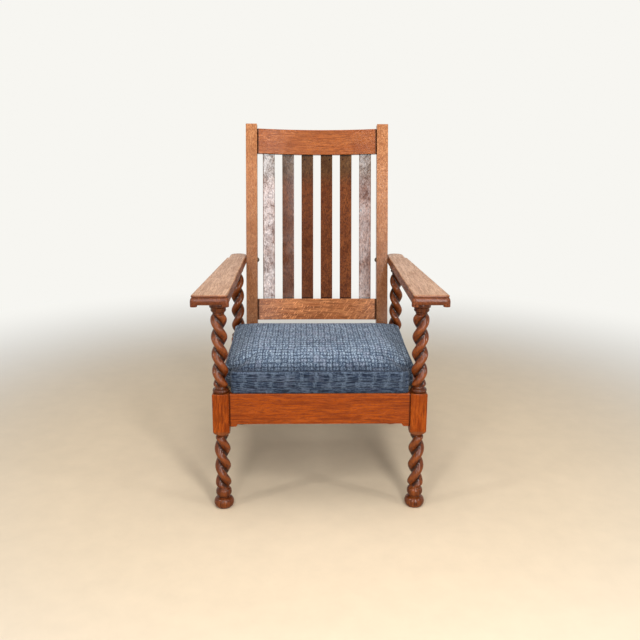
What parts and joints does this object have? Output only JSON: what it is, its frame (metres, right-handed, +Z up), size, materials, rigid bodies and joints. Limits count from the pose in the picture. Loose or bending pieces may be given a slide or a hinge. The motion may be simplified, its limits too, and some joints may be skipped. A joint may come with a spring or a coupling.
{
  "type": "lounge chair",
  "caption": "Oak lounge chair with twist-turned posts, broad flat arms, a raked slat back with bowed rails and a lift-out upholstered seat.",
  "frame": {"origin": "on the floor, under the middle of the chair's bounding box", "axes": "+Z up, the chair's front faces -Y, +X is to the right seen from in front of it"},
  "size_m": [0.7334, 0.7932, 1.13],
  "materials": {
    "oak": "satin varnish",
    "dark_oak": "gloss varnish",
    "slat_oak": "gloss varnish",
    "plain_wood": "bare",
    "steel": "zinc",
    "aged_steel": "dark",
    "brass": "plain",
    "blue_cloth": "ribbed chenille",
    "padding": "foam",
    "webbing": "woven jute",
    "black_cloth": "thin cambric"
  },
  "bodies": {
    "frame": {"front_post_left": "dark_oak", "front_post_right": "dark_oak", "rear_post_left": "dark_oak", "rear_post_right": "dark_oak", "rear_leg_left": "dark_oak", "rear_leg_right": "dark_oak", "front_rail": "oak", "rear_rail": "oak", "side_rail_left": "oak", "side_rail_right": "oak", "corner_block_left": "plain_wood", "corner_block_right": "plain_wood", "corner_block_screws": "steel", "stile_foot_screws": "steel", "arm_left": "oak", "arm_right": "oak", "arm_bush_left": "brass", "arm_bush_right": "brass", "arm_bolt_left": "aged_steel", "arm_bolt_right": "aged_steel", "stile_left": "oak", "stile_right": "oak", "top_rail": "oak", "bottom_rail": "oak", "slat_1": "slat_oak", "slat_2": "slat_oak", "slat_3": "slat_oak", "slat_4": "slat_oak", "slat_5": "slat_oak", "slat_6": "slat_oak"},
    "seat": {"seat_cover": "blue_cloth", "seat_padding": "padding", "seat_frame_front": "plain_wood", "seat_frame_rear": "plain_wood", "seat_frame_left": "plain_wood", "seat_frame_right": "plain_wood", "webbing_across": "webbing", "webbing_along": "webbing", "dust_cover": "black_cloth"}
  },
  "joints": [
    {"name": "seat_lift", "type": "slide", "parent": "frame", "child": "seat", "axis": [0, 0, 1], "range_m": [0, 0.12]}
  ]
}
